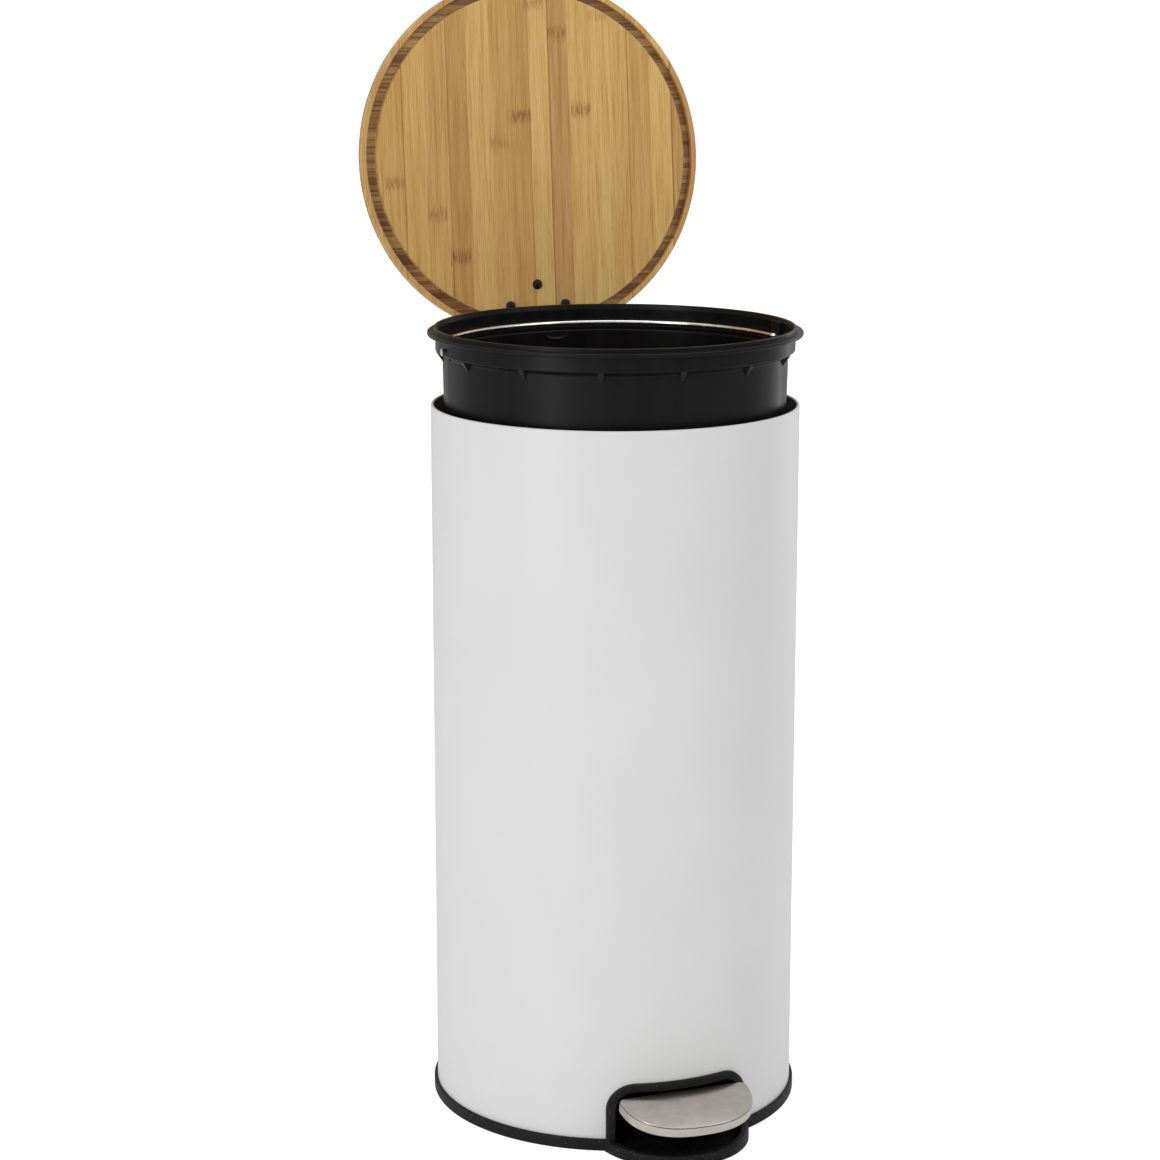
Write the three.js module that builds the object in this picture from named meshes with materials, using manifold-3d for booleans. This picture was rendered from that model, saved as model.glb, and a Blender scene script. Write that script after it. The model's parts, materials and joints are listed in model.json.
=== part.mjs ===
// Round pedal bin: painted steel body, moulded base with a foot pedal, lift-out plastic
// bucket with a wire bail, and a bamboo lid on a rear hinge.
// Millimetres, +Z up, +X to the right of someone facing the bin, front (pedal side) at -Y.
// The origin is on the body's axis, on the underside of the base.
// The model stands as it is laid out for cleaning: lid open, bucket part lifted, pedal up.
import * as THREE from 'three';
import { mergeVertices } from 'three/addons/utils/BufferGeometryUtils.js';
import Module from 'manifold-3d';

const wasm = await Module();
wasm.setup();

// Driving dimensions
const FIT_GAP = 0.3;            // gap between pieces that touch
const ROUND_STEPS = 56;         // facets round the body's large diameters
const SMALL_STEPS = 12;         // facets round pins and screws

const SHELL_R = 147.5;
const SHELL_WALL = 1;
const SHELL_FOOT_Z = 4.2;
const SHELL_TOP_Z = 576.5;
const BEAD_R = 1.3;             // rolled top edge, curled to the inside

const BASE_R = 150.3;
const BASE_BAND_H = 9.5;
const BASE_FLOOR = 4.2;
const BASE_INNER_WALL_R = 143.5;
const BASE_INNER_WALL_H = 12;
const TRAY_R = 62;              // floor lip in front of the pedal, a half disc
const TRAY_CENTRE_Y = -128;
const TRAY_WALL = 7;
const TRAY_FLOOR = 3.4;

const ARCH_HALF = 59.5;         // outer edge of the black surround of the pedal opening
const ARCH_TOP_Z = 55.6;
const ARCH_CORNER_R = 22;
const ARCH_FRAME = 6.5;
const ARCH_LIP = 2.4;           // how far the surround laps over the cut edge of the shell
const ARCH_FACE_R = 151.3;
const ARCH_BACK_Y = -126;

const FOOT_PAD_R = 10;
const FOOT_PAD_H = 2.6;
const FOOT_PAD_CIRCLE_R = 112;

const PIVOT_Y = -28;
const PIVOT_Z = 24;
const PIVOT_PIN_R = 3;
const LEVER_W = 24;
const LEVER_T = 3;
const LEVER_TAIL_Y = 144.4;
const PEDAL_PRESS_DEG = 5;

const PEDAL_HALF_W = 54;
const PEDAL_DEPTH = 50;
const PEDAL_RIM = 8.5;
const PEDAL_SHEET = 1.2;
const PEDAL_BACK_Y = -149;
const PEDAL_BACK_Z = 47;
const PEDAL_SLOPE_DEG = 12.5;
const PEDAL_ROUNDNESS = 2.4;    // exponent of the rounded front outline, 2 is an ellipse
const PEDAL_CORE_T = 7.1;

const ROD_R = 2;
const ROD_Y = 142.2;
const ROD_TOP_Y = 166;
const ROD_FOOT_Z = 18.4;
const ROD_JOG_Z = 508;
const ROD_TOP_Z = 554;

const HINGE_Y = 177;
const HINGE_Z = 582;
const HINGE_PIN_R = 2.5;
const HINGE_BARREL_R = 6.5;
const LID_OPEN_DEG = 95.2;
const BRACKET_HALF_W = 30;

const HOUSING_HALF_W = 36;
const HOUSING_WALL = 3;
const HOUSING_LOW_Z = 497;
const HOUSING_TOP_Z = 565;
const HOUSING_BACK_Y = 190;

const LID_R = 151;
const LID_T = 16;
const LID_EDGE_ROUND = 10;
const LID_GROOVE_IN_R = 138;
const LID_GROOVE_OUT_R = 146.4;
const LID_GROOVE_DEPTH = 5;
const LID_DISC_PROUD = 2;
const LID_FACE_Z = 582.5;       // ring face of the closed lid
const LID_SCREWS = [[0, 107.2], [-24.8, 124.8], [24.8, 124.8]];

const BUCKET_LIFT = 55;
const BUCKET_FLANGE_T = 3;
const BUCKET_FLANGE_R = 149.8;
const BUCKET_LIP_R = 144.6;
const BUCKET_LIP_H = 3.5;
const BUCKET_SHOULDER_R = 143.4;
const BUCKET_SHOULDER_H = 12;
const BUCKET_WALL_R = 137.8;
const BUCKET_FLOOR_R = 128;
const BUCKET_DEPTH = 501.5;
const BUCKET_T = 2;
const BUCKET_RIBS = 14;
const BUCKET_RIB_H = 9;

const BAIL_R = 137.9;           // centre line of the wire's half circle
const BAIL_WIRE_R = 2;
const BAIL_BELOW_FLANGE = 11.5;
const BAIL_END_X = 144.3;

const finishes = {
  white_paint: { color: 0xe4e4e4, roughness: 0.35, metalness: 0 },
  black_plastic: { color: 0x1c1c1d, roughness: 0.55, metalness: 0 },
  bucket_plastic: { color: 0x202021, roughness: 0.5, metalness: 0 },
  bamboo: { color: 0xbd9558, roughness: 0.6, metalness: 0 },
  pedal_steel: { color: 0xb4aea5, roughness: 0.35, metalness: 1 },
  zinc_steel: { color: 0xa9abad, roughness: 0.4, metalness: 1 },
  bail_steel: { color: 0xd2d2d2, roughness: 0.25, metalness: 1 },
  black_screw: { color: 0x151515, roughness: 0.4, metalness: 0.6 },
  rubber: { color: 0x2b2b2b, roughness: 0.9, metalness: 0 },
};

// Solids

function solidOf(geometry) {
  const bare = geometry.index ? geometry.toNonIndexed() : geometry.clone();
  bare.deleteAttribute('normal');
  bare.deleteAttribute('uv');
  const merged = mergeVertices(bare, 1e-4);
  return new wasm.Manifold(new wasm.Mesh({
    numProp: 3,
    vertProperties: new Float32Array(merged.attributes.position.array),
    triVerts: new Uint32Array(merged.index.array),
  }));
}

function geometryOf(solid) {
  const mesh = solid.getMesh();
  const geometry = new THREE.BufferGeometry();
  geometry.setAttribute('position', new THREE.BufferAttribute(mesh.vertProperties, 3));
  geometry.setIndex(new THREE.BufferAttribute(mesh.triVerts, 1));
  geometry.computeVertexNormals();
  return geometry;
}

const merge = (...solids) => solids.reduce((whole, solid) => whole.add(solid));
const cutFrom = (body, ...tools) => tools.reduce((rest, tool) => rest.subtract(tool), body);
const radians = THREE.MathUtils.degToRad;

function block(x0, x1, y0, y1, z0, z1) {
  const geometry = new THREE.BoxGeometry(x1 - x0, y1 - y0, z1 - z0);
  geometry.translate((x0 + x1) / 2, (y0 + y1) / 2, (z0 + z1) / 2);
  return solidOf(geometry);
}

// A profile of [radius, z] points turned round the Z axis.
function turned(profile, steps = ROUND_STEPS) {
  const geometry = new THREE.LatheGeometry(profile.map(([r, z]) => new THREE.Vector2(r, z)), steps);
  geometry.rotateX(Math.PI / 2);
  return solidOf(geometry);
}

// A profile of [radius, z] points that closes on itself, clear of the axis.
const turnedRing = (profile, steps) => turned([...profile, profile[0]], steps);

function rod(axis, radius, low, high, at, steps = SMALL_STEPS) {
  const geometry = new THREE.CylinderGeometry(radius, radius, high - low, steps);
  geometry.translate(0, (low + high) / 2, 0);
  if (axis === 'x') geometry.rotateZ(-Math.PI / 2);
  if (axis === 'z') geometry.rotateX(Math.PI / 2);
  geometry.translate(...at);
  return solidOf(geometry);
}

// An outline of [x, y] points, or a Shape, stood up along +Z.
function upright(outline, low, high) {
  const shape = outline instanceof THREE.Shape
    ? outline : new THREE.Shape(outline.map(([x, y]) => new THREE.Vector2(x, y)));
  const geometry = new THREE.ExtrudeGeometry(shape, { depth: high - low, bevelEnabled: false, curveSegments: 8 });
  geometry.translate(0, 0, low);
  return solidOf(geometry);
}

// A side outline of [y, z] points, carried along X from low to high.
function across(outline, low, high) {
  const points = outline.map(([y, z]) => new THREE.Vector2(y, z));
  const geometry = new THREE.ExtrudeGeometry(new THREE.Shape(points), { depth: high - low, bevelEnabled: false });
  geometry.translate(0, 0, low);
  geometry.applyMatrix4(new THREE.Matrix4().makeBasis(
    new THREE.Vector3(0, 1, 0), new THREE.Vector3(0, 0, 1), new THREE.Vector3(1, 0, 0)));
  return solidOf(geometry);
}

// A front outline of [x, z] points or a Shape, carried along Y from low to high.
function frontToBack(shape, low, high) {
  const geometry = new THREE.ExtrudeGeometry(shape, { depth: high - low, bevelEnabled: false, curveSegments: 8 });
  geometry.rotateX(Math.PI / 2);
  geometry.translate(0, high, 0);
  return solidOf(geometry);
}

function arc(cy, cz, radius, startDeg, endDeg, steps) {
  return Array.from({ length: steps + 1 }, (_, i) => {
    const angle = radians(startDeg + (endDeg - startDeg) * i / steps);
    return [cy + radius * Math.cos(angle), cz + radius * Math.sin(angle)];
  });
}

// Straight round lengths joined at ball corners, for a rod bent in a few places.
function bentRod(points, radius) {
  const corners = points.map((p) => new THREE.Vector3(...p));
  const lengths = corners.slice(1).map((to, i) => {
    const along = to.clone().sub(corners[i]);
    const geometry = new THREE.CylinderGeometry(radius, radius, along.length(), SMALL_STEPS);
    geometry.translate(0, along.length() / 2, 0);
    geometry.applyQuaternion(new THREE.Quaternion().setFromUnitVectors(
      new THREE.Vector3(0, 1, 0), along.normalize()));
    return solidOf(geometry).translate(corners[i].toArray());
  });
  const balls = corners.slice(1, -1).map((at) =>
    solidOf(new THREE.SphereGeometry(radius, SMALL_STEPS, 6)).translate(at.toArray()));
  return merge(...lengths, ...balls);
}

// Round wire along part of a level circle about the origin.
function wireArc(circleR, wireR, startDeg, endDeg, steps) {
  const points = arc(0, 0, circleR, startDeg, endDeg, steps).map(([x, y]) => new THREE.Vector3(x, y, 0));
  const section = new THREE.Shape(arc(0, 0, wireR, 0, 315, 7).map(([x, y]) => new THREE.Vector2(x, y)));
  return solidOf(new THREE.ExtrudeGeometry(section, {
    steps, extrudePath: new THREE.CatmullRomCurve3(points), bevelEnabled: false,
  }));
}

// Arched outline of the pedal opening, in X and Z.
function archShape(half, top, corner, bottom) {
  const shape = new THREE.Shape();
  shape.moveTo(-half, bottom);
  shape.lineTo(half, bottom);
  shape.lineTo(half, top - corner);
  shape.absarc(half - corner, top - corner, corner, 0, Math.PI / 2, false);
  shape.absarc(corner - half, top - corner, corner, Math.PI / 2, Math.PI, false);
  shape.closePath();
  return shape;
}

function roundedPlate(x0, x1, y0, y1, corner) {
  const shape = new THREE.Shape();
  shape.absarc(x1 - corner, y0 + corner, corner, -Math.PI / 2, 0, false);
  shape.absarc(x1 - corner, y1 - corner, corner, 0, Math.PI / 2, false);
  shape.absarc(x0 + corner, y1 - corner, corner, Math.PI / 2, Math.PI, false);
  shape.absarc(x0 + corner, y0 + corner, corner, Math.PI, Math.PI * 1.5, false);
  shape.closePath();
  return shape;
}

// Body

function outerShell() {
  const inner = SHELL_R - SHELL_WALL;
  const beadCentreR = SHELL_R - BEAD_R;
  const body = turnedRing([
    [inner, SHELL_FOOT_Z], [SHELL_R, SHELL_FOOT_Z],
    ...arc(beadCentreR, SHELL_TOP_Z - BEAD_R, BEAD_R, 0, 180, 5),
    [beadCentreR - BEAD_R, SHELL_TOP_Z - 1.6 * BEAD_R], [inner, SHELL_TOP_Z - 2.4 * BEAD_R],
  ]);
  const cut = ARCH_LIP;
  const pedalCut = frontToBack(
    archShape(ARCH_HALF - cut, ARCH_TOP_Z - cut, ARCH_CORNER_R - cut, 0), -SHELL_R - 5, -100);
  const rodWindow = block(-8, 8, 120, SHELL_R + 5, 502, 558);
  const screwHoles = [-1, 1].map((side) => housingScrewHole(side, 2.4));
  return cutFrom(body, pedalCut, rodWindow, ...screwHoles);
}

function base() {
  const band = turnedRing([
    [BASE_INNER_WALL_R, 0], [BASE_R - 0.8, 0], [BASE_R, 0.8], [BASE_R, BASE_BAND_H - 0.8],
    [BASE_R - 0.8, BASE_BAND_H], [SHELL_R + FIT_GAP, BASE_BAND_H], [SHELL_R + FIT_GAP, BASE_FLOOR - 0.4],
    [SHELL_R - SHELL_WALL - FIT_GAP, BASE_FLOOR - 0.4], [SHELL_R - SHELL_WALL - FIT_GAP, BASE_INNER_WALL_H],
    [BASE_INNER_WALL_R, BASE_INNER_WALL_H],
  ]);
  const floor = turned([[0, 0], [BASE_INNER_WALL_R + 1, 0], [BASE_INNER_WALL_R + 1, BASE_FLOOR], [0, BASE_FLOOR]]);
  const trayOutline = (r) => arc(0, TRAY_CENTRE_Y, r, 180, 360, 24);
  const tray = upright([...trayOutline(TRAY_R), [TRAY_R, -120], [-TRAY_R, -120]], 0, BASE_BAND_H)
    .subtract(rod('z', SHELL_R + FIT_GAP, TRAY_FLOOR, BASE_BAND_H + 1, [0, 0, 0], ROUND_STEPS));
  const frameRing = turnedRing([
    [SHELL_R + FIT_GAP, 0], [ARCH_FACE_R - 0.8, 0], [ARCH_FACE_R - 0.8, ARCH_TOP_Z + 1],
    [SHELL_R + FIT_GAP, ARCH_TOP_Z + 1],
  ]);
  const frameFace = frontToBack(archShape(ARCH_HALF, ARCH_TOP_Z, ARCH_CORNER_R, 0.5), -160, -120)
    .intersect(frameRing);
  const neckInset = ARCH_LIP + FIT_GAP;
  const neck = frontToBack(
    archShape(ARCH_HALF - neckInset, ARCH_TOP_Z - neckInset, ARCH_CORNER_R - neckInset, 0.5), -160, ARCH_BACK_Y)
    .intersect(rod('z', SHELL_R + 1, 0, ARCH_TOP_Z + 1, [0, 0, 0], ROUND_STEPS));
  const opening = frontToBack(
    archShape(ARCH_HALF - ARCH_FRAME, ARCH_TOP_Z - ARCH_FRAME, ARCH_CORNER_R - ARCH_FRAME, TRAY_FLOOR), -165, -118);
  const trayHollow = upright([...trayOutline(TRAY_R - TRAY_WALL), [TRAY_R - TRAY_WALL, -118],
    [TRAY_WALL - TRAY_R, -118]], TRAY_FLOOR, BASE_BAND_H + 2);
  const boss = [-1, 1].map((side) => rod('z', 4.5, BASE_FLOOR - 1, BASE_FLOOR + 4, [0, PIVOT_Y + side * 16, 0]));
  const pads = footPadPlaces().map(([x, y]) =>
    rod('z', FOOT_PAD_R + FIT_GAP, -1, FOOT_PAD_H + FIT_GAP, [x, y, 0], 24));
  const whole = cutFrom(merge(band, floor, tray, frameFace, neck), opening, trayHollow);
  const screwHoles = [-1, 1].map((side) => rod('z', 1.8, 1.5, 12, [0, PIVOT_Y + side * 16, 0]));
  return cutFrom(merge(whole, ...boss), ...pads, ...screwHoles);
}

function footPadPlaces() {
  return [45, 135, 225, 315].map((deg) => [
    FOOT_PAD_CIRCLE_R * Math.cos(radians(deg)), FOOT_PAD_CIRCLE_R * Math.sin(radians(deg))]);
}

const footPad = ([x, y]) => rod('z', FOOT_PAD_R, 0, FOOT_PAD_H, [x, y, 0], 24);

// Pedal and its linkage

function pedalOutline(inset) {
  const half = PEDAL_HALF_W - inset;
  const depth = PEDAL_DEPTH - 2 * inset;
  const steps = 24;
  const front = Array.from({ length: steps + 1 }, (_, i) => {
    const angle = Math.PI * i / steps;
    const power = 2 / PEDAL_ROUNDNESS;
    const x = -half * Math.sign(Math.cos(angle)) * Math.abs(Math.cos(angle)) ** power;
    return [x, -inset - 5 - (depth - 5) * Math.sin(angle) ** power];
  });
  return [...front, [half - 1.5, -inset - 1.5], [half - 5, -inset], [5 - half, -inset], [1.5 - half, -inset - 1.5]];
}

function pedalCap() {
  const outside = upright(pedalOutline(0), -PEDAL_RIM, 0);
  const hollow = upright(pedalOutline(PEDAL_SHEET), -PEDAL_RIM - 1, -PEDAL_SHEET);
  return outside.subtract(hollow);
}

function pedalCore() {
  const top = -PEDAL_SHEET - FIT_GAP;
  const body = upright(pedalOutline(PEDAL_SHEET + FIT_GAP), top - PEDAL_CORE_T, top);
  return cutFrom(body, ...pedalScrewPlaces().map((x) =>
    rod('z', 1.9, top - PEDAL_CORE_T - 1, top - 1.5, [x, -20, 0])));
}

const pedalScrewPlaces = () => [-7, 7];

function pedalScrew(x) {
  const seat = -PEDAL_SHEET - FIT_GAP - PEDAL_CORE_T - FIT_GAP - LEVER_T - FIT_GAP;
  return merge(rod('z', 1.5, seat - 0.5, -PEDAL_SHEET - 2.4, [x, -20, 0]),
    rod('z', 3.2, seat - 2, seat, [x, -20, 0]));
}

function pedalFrame() {
  const group = new THREE.Group();
  group.position.set(0, PEDAL_BACK_Y, PEDAL_BACK_Z);
  group.rotation.x = radians(PEDAL_SLOPE_DEG);
  return group;
}

// Bent steel strip from the underside of the pedal, over the pivot, to the rod at the back.
function pedalLever() {
  const slope = radians(PEDAL_SLOPE_DEG);
  const under = PEDAL_SHEET + PEDAL_CORE_T + 2 * FIT_GAP;
  const onPedal = (forward, down) => [
    PEDAL_BACK_Y - forward * Math.cos(slope) + down * Math.sin(slope),
    PEDAL_BACK_Z - forward * Math.sin(slope) - down * Math.cos(slope)];
  const top = [[LEVER_TAIL_Y, 16], [PIVOT_Y + 10, 18.6], [PIVOT_Y - 8, 19.6], [-118, 34], onPedal(4, under),
    onPedal(34, under)];
  const bottom = [onPedal(34, under + LEVER_T), onPedal(3, under + LEVER_T), [-117.2, 34 - LEVER_T],
    [PIVOT_Y - 8, 19.6 - LEVER_T], [PIVOT_Y + 10, 18.6 - LEVER_T], [LEVER_TAIL_Y, 16 - LEVER_T]];
  const strip = across([...top, ...bottom].reverse(), -LEVER_W / 2, LEVER_W / 2);
  const barrel = rod('x', 6.4, -13, 13, [0, PIVOT_Y, PIVOT_Z], 20);
  const pinHole = rod('x', PIVOT_PIN_R + FIT_GAP, -20, 20, [0, PIVOT_Y, PIVOT_Z], 20);
  const screwHoles = pedalScrewPlaces().map((x) => {
    const geometry = new THREE.CylinderGeometry(1.9, 1.9, 20, SMALL_STEPS);
    geometry.rotateX(Math.PI / 2);
    geometry.translate(x, -20, -12);
    geometry.rotateX(slope);
    geometry.translate(0, PEDAL_BACK_Y, PEDAL_BACK_Z);
    return solidOf(geometry);
  });
  return cutFrom(merge(strip, barrel), pinHole, ...screwHoles);
}

function pivotBracket() {
  const low = BASE_FLOOR + 4 + FIT_GAP;
  const strip = block(-17, 17, PIVOT_Y - 23, PIVOT_Y + 23, low, low + 2);
  const cheek = (x) => across([[PIVOT_Y - 12, low], [PIVOT_Y + 12, low],
    ...arc(PIVOT_Y, PIVOT_Z, 7, 0, 180, 8)], x, x + 2);
  const pinHole = rod('x', PIVOT_PIN_R + FIT_GAP, -20, 20, [0, PIVOT_Y, PIVOT_Z], 20);
  const screwHoles = [-1, 1].map((side) => rod('z', 2.3, low - 1, low + 3, [0, PIVOT_Y + side * 16, 0]));
  return cutFrom(merge(strip, cheek(-17), cheek(15)), pinHole, ...screwHoles);
}

function bracketScrew(side) {
  const seat = BASE_FLOOR + 6 + 2 * FIT_GAP;
  const y = PIVOT_Y + side * 16;
  return merge(rod('z', 1.5, 2, seat + 1, [0, y, 0]), rod('z', 3.6, seat, seat + 2, [0, y, 0]));
}

function pivotPin() {
  const groove = (x) => rod('x', 2.6, x, x + 1, [0, PIVOT_Y, PIVOT_Z], 20);
  return merge(rod('x', PIVOT_PIN_R, -17.6, 17.6, [0, PIVOT_Y, PIVOT_Z], 20), groove(-18.6), groove(17.6),
    rod('x', PIVOT_PIN_R, -19.6, -18.6, [0, PIVOT_Y, PIVOT_Z], 20),
    rod('x', PIVOT_PIN_R, 18.6, 19.6, [0, PIVOT_Y, PIVOT_Z], 20));
}

// Open retaining ring in the pin's groove.
function pinClip(side) {
  const x = side > 0 ? 17.8 : -18.4;
  const outer = rod('x', 5.5, x, x + 0.6, [0, PIVOT_Y, PIVOT_Z], 20);
  const inner = rod('x', 2.6 + FIT_GAP, x - 1, x + 2, [0, PIVOT_Y, PIVOT_Z], 20);
  return outer.subtract(inner).subtract(block(-30, 30, PIVOT_Y - 1.6, PIVOT_Y + 1.6, PIVOT_Z, PIVOT_Z + 8));
}

// Rubber buffers under the lever: the tail rests on one with the pedal up, the front on the other pressed.
const restPad = () => rod('z', 5, BASE_FLOOR + FIT_GAP, 12.4, [0, 128, 0], 20);
const pressPad = () => rod('z', 5, BASE_FLOOR + FIT_GAP, 15, [0, -96, 0], 20);

function pushRod() {
  return bentRod([[0, ROD_Y, ROD_FOOT_Z + 2], [0, ROD_Y, ROD_JOG_Z],
    [0, ROD_TOP_Y, ROD_JOG_Z + ROD_TOP_Y - ROD_Y], [0, ROD_TOP_Y, ROD_TOP_Z]], ROD_R);
}

// Moulded shoe on the rod's lower end, which stands on the lever's tail.
function rodFoot() {
  return rod('z', 2.2, 16.9, ROD_FOOT_Z + 2 - FIT_GAP, [0, ROD_Y - 0.2, 0]);
}

function rodGuide(z) {
  const body = block(-8, 8, 138.6, SHELL_R - 2, z - 6, z + 6)
    .intersect(rod('z', SHELL_R - SHELL_WALL - FIT_GAP, z - 8, z + 8, [0, 0, 0], ROUND_STEPS));
  return body.subtract(rod('z', ROD_R + FIT_GAP, z - 9, z + 9, [0, ROD_Y, 0], SMALL_STEPS));
}

// Rear hinge

function housingScrewHole(side, radius) {
  return rod('y', radius, 130, 165, [side * 24, 0, 525], SMALL_STEPS);
}

function hingeHousing() {
  const frontY = 140;
  const outside = upright(roundedPlate(-HOUSING_HALF_W, HOUSING_HALF_W, frontY, HOUSING_BACK_Y, 9),
    HOUSING_LOW_Z, HOUSING_TOP_Z);
  const hollow = upright(roundedPlate(-HOUSING_HALF_W + HOUSING_WALL + 1, HOUSING_HALF_W - HOUSING_WALL - 1,
    frontY - 20, HOUSING_BACK_Y - HOUSING_WALL, 6), HOUSING_LOW_Z + HOUSING_WALL, HOUSING_TOP_Z + 5);
  const ear = (x) => across([[HINGE_Y - 9, HOUSING_TOP_Z - 12], [HINGE_Y + 9, HOUSING_TOP_Z - 12],
    ...arc(HINGE_Y, HINGE_Z, 8, 0, 180, 10)], x, x + 4);
  const boss = [-1, 1].map((side) => rod('y', 5, 140, 160, [side * 24, 0, 525], 20));
  const toBack = [-1, 1].map((side) => block(side * 24 - 5, side * 24 + 5, 145, 160, HOUSING_LOW_Z, 526));
  const pinHole = rod('x', HINGE_PIN_R + FIT_GAP, -50, 50, [0, HINGE_Y, HINGE_Z], 20);
  const whole = merge(outside.subtract(hollow), ear(-HOUSING_HALF_W), ear(HOUSING_HALF_W - 4), ...boss, ...toBack)
    .subtract(rod('z', SHELL_R + FIT_GAP, 480, 600, [0, 0, 0], ROUND_STEPS));
  const screwHoles = [-1, 1].map((side) => housingScrewHole(side, 1.8)
    .subtract(block(-50, 50, 157.5, 200, 500, 550)));
  return cutFrom(whole, pinHole, ...screwHoles);
}

function housingScrew(side) {
  const at = [side * 24, 0, 525];
  const headInner = 141.8;
  return merge(rod('y', 1.5, headInner + 1, 156.5, at, SMALL_STEPS),
    rod('y', 3.6, headInner, headInner + 1.6, at, SMALL_STEPS));
}

const hingePin = () => rod('x', HINGE_PIN_R, -35.6, 35.6, [0, HINGE_Y, HINGE_Z], 20);

// Pieces that turn with the lid are drawn closed, and the lid's group opens them.
function lidBracket() {
  const low = LID_FACE_Z + LID_T + FIT_GAP;
  const high = low + 3;
  const side = [[97, low], [97, high], [158, high], [HINGE_Y, high - 3],
    ...arc(HINGE_Y, HINGE_Z, HINGE_BARREL_R, 55, -190, 12), [159, low - 4], [153, low]];
  const hood = across(side, -BRACKET_HALF_W, BRACKET_HALF_W);
  const tail = across([[HINGE_Y - 4, HINGE_Z + 4], [HINGE_Y - 13.5, HINGE_Z - 3], [HINGE_Y - 13.5, HINGE_Z - 10.5],
    [HINGE_Y - 8, HINGE_Z - 10.5], [HINGE_Y + 2, HINGE_Z - 4]], -5, 5);
  const pinHole = rod('x', HINGE_PIN_R + FIT_GAP, -50, 50, [0, HINGE_Y, HINGE_Z], 20);
  const screwHoles = LID_SCREWS.map(([x, y]) => rod('z', 2.3, low - 1, high + 1, [x, y, 0]));
  return cutFrom(merge(hood, tail), pinHole, ...screwHoles);
}

function lidScrew([x, y]) {
  const face = LID_FACE_Z - LID_DISC_PROUD - FIT_GAP;
  return merge(rod('z', 2, face - 0.5, LID_FACE_Z + LID_T + 3, [x, y, 0]),
    turned([[0, face - 2.8], [2.4, face - 2.5], [3.7, face - 1.4], [4.2, face], [0, face]], 20)
      .translate([x, y, 0]));
}

function lid() {
  const top = LID_FACE_Z + LID_T;
  const floorZ = LID_FACE_Z + LID_GROOVE_DEPTH;
  const discZ = LID_FACE_Z - LID_DISC_PROUD;
  const board = turned([
    [0, discZ], [LID_GROOVE_IN_R - 1, discZ], [LID_GROOVE_IN_R, discZ + 1], [LID_GROOVE_IN_R, floorZ],
    [LID_GROOVE_OUT_R, floorZ], [LID_GROOVE_OUT_R, LID_FACE_Z + 0.6], [LID_GROOVE_OUT_R + 0.6, LID_FACE_Z],
    [LID_R - 0.8, LID_FACE_Z], [LID_R, LID_FACE_Z + 0.8],
    ...arc(LID_R - LID_EDGE_ROUND, top - LID_EDGE_ROUND, LID_EDGE_ROUND, 0, 90, 5), [0, top],
  ]);
  return cutFrom(board, ...LID_SCREWS.map(([x, y]) => rod('z', 2.3, discZ - 5, top + 5, [x, y, 0])));
}

function lidFrame() {
  const group = new THREE.Group();
  const inner = new THREE.Group();
  group.position.set(0, HINGE_Y, HINGE_Z);
  group.rotation.x = radians(-LID_OPEN_DEG);
  inner.position.set(0, -HINGE_Y, -HINGE_Z);
  group.add(inner);
  return { group, inner };
}

// Bucket, drawn with its flange's top at z = 0.
function innerBucket() {
  const lipTop = BUCKET_LIP_H;
  const shoulderLow = -BUCKET_FLANGE_T - BUCKET_SHOULDER_H;
  const stepLow = shoulderLow - 3;
  const t = BUCKET_T;
  const body = turned([
    [0, -BUCKET_DEPTH], [BUCKET_FLOOR_R - 6, -BUCKET_DEPTH], [BUCKET_FLOOR_R, -BUCKET_DEPTH + 6],
    [BUCKET_WALL_R, stepLow], [BUCKET_SHOULDER_R, shoulderLow], [BUCKET_SHOULDER_R, -BUCKET_FLANGE_T],
    [BUCKET_FLANGE_R, -BUCKET_FLANGE_T], [BUCKET_FLANGE_R, -0.8], [BUCKET_FLANGE_R - 0.8, 0], [BUCKET_LIP_R, 0],
    [BUCKET_LIP_R, lipTop - 0.8], [BUCKET_LIP_R - 0.8, lipTop], [BUCKET_LIP_R - 1.6, lipTop],
    [BUCKET_LIP_R - 2.4, lipTop - 0.8], [BUCKET_SHOULDER_R - t, shoulderLow + 0.8],
    [BUCKET_WALL_R - t, stepLow + 0.8], [BUCKET_FLOOR_R - t, -BUCKET_DEPTH + 6 + t],
    [BUCKET_FLOOR_R - 6 - t, -BUCKET_DEPTH + t], [0, -BUCKET_DEPTH + t],
  ]);
  const ribs = Array.from({ length: BUCKET_RIBS }, (_, i) => {
    const rib = across([[-BUCKET_WALL_R + 0.8, stepLow + 3], [-BUCKET_SHOULDER_R + 1, shoulderLow + 1],
      [-BUCKET_SHOULDER_R + 1, shoulderLow - 1.4], [-BUCKET_WALL_R + 0.8, shoulderLow - BUCKET_RIB_H]], -1.6, 1.6);
    return rib.rotate([0, 0, 360 * i / BUCKET_RIBS]);
  });
  const bailHoles = rod('x', BAIL_WIRE_R + FIT_GAP, -150, 150, [0, 0, -BAIL_BELOW_FLANGE], SMALL_STEPS);
  return merge(body, ...ribs).subtract(bailHoles);
}

// Wire half circle folded to the back, its ends turned out through the bucket's wall.
function bailHandle() {
  const ends = [-1, 1].map((side) => bentRod(
    [[side * BAIL_R, 1, 0], [side * BAIL_R, 0, 0], [side * BAIL_END_X, 0, 0]], BAIL_WIRE_R));
  return merge(wireArc(BAIL_R, BAIL_WIRE_R, 0, 180, 36), ...ends);
}

// Assembly

function add(parent, name, solid, finish) {
  const mesh = new THREE.Mesh(geometryOf(solid), new THREE.MeshStandardMaterial(finishes[finish]));
  mesh.name = name;
  parent.add(mesh);
  return mesh;
}

const bin = new THREE.Group();

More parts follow.
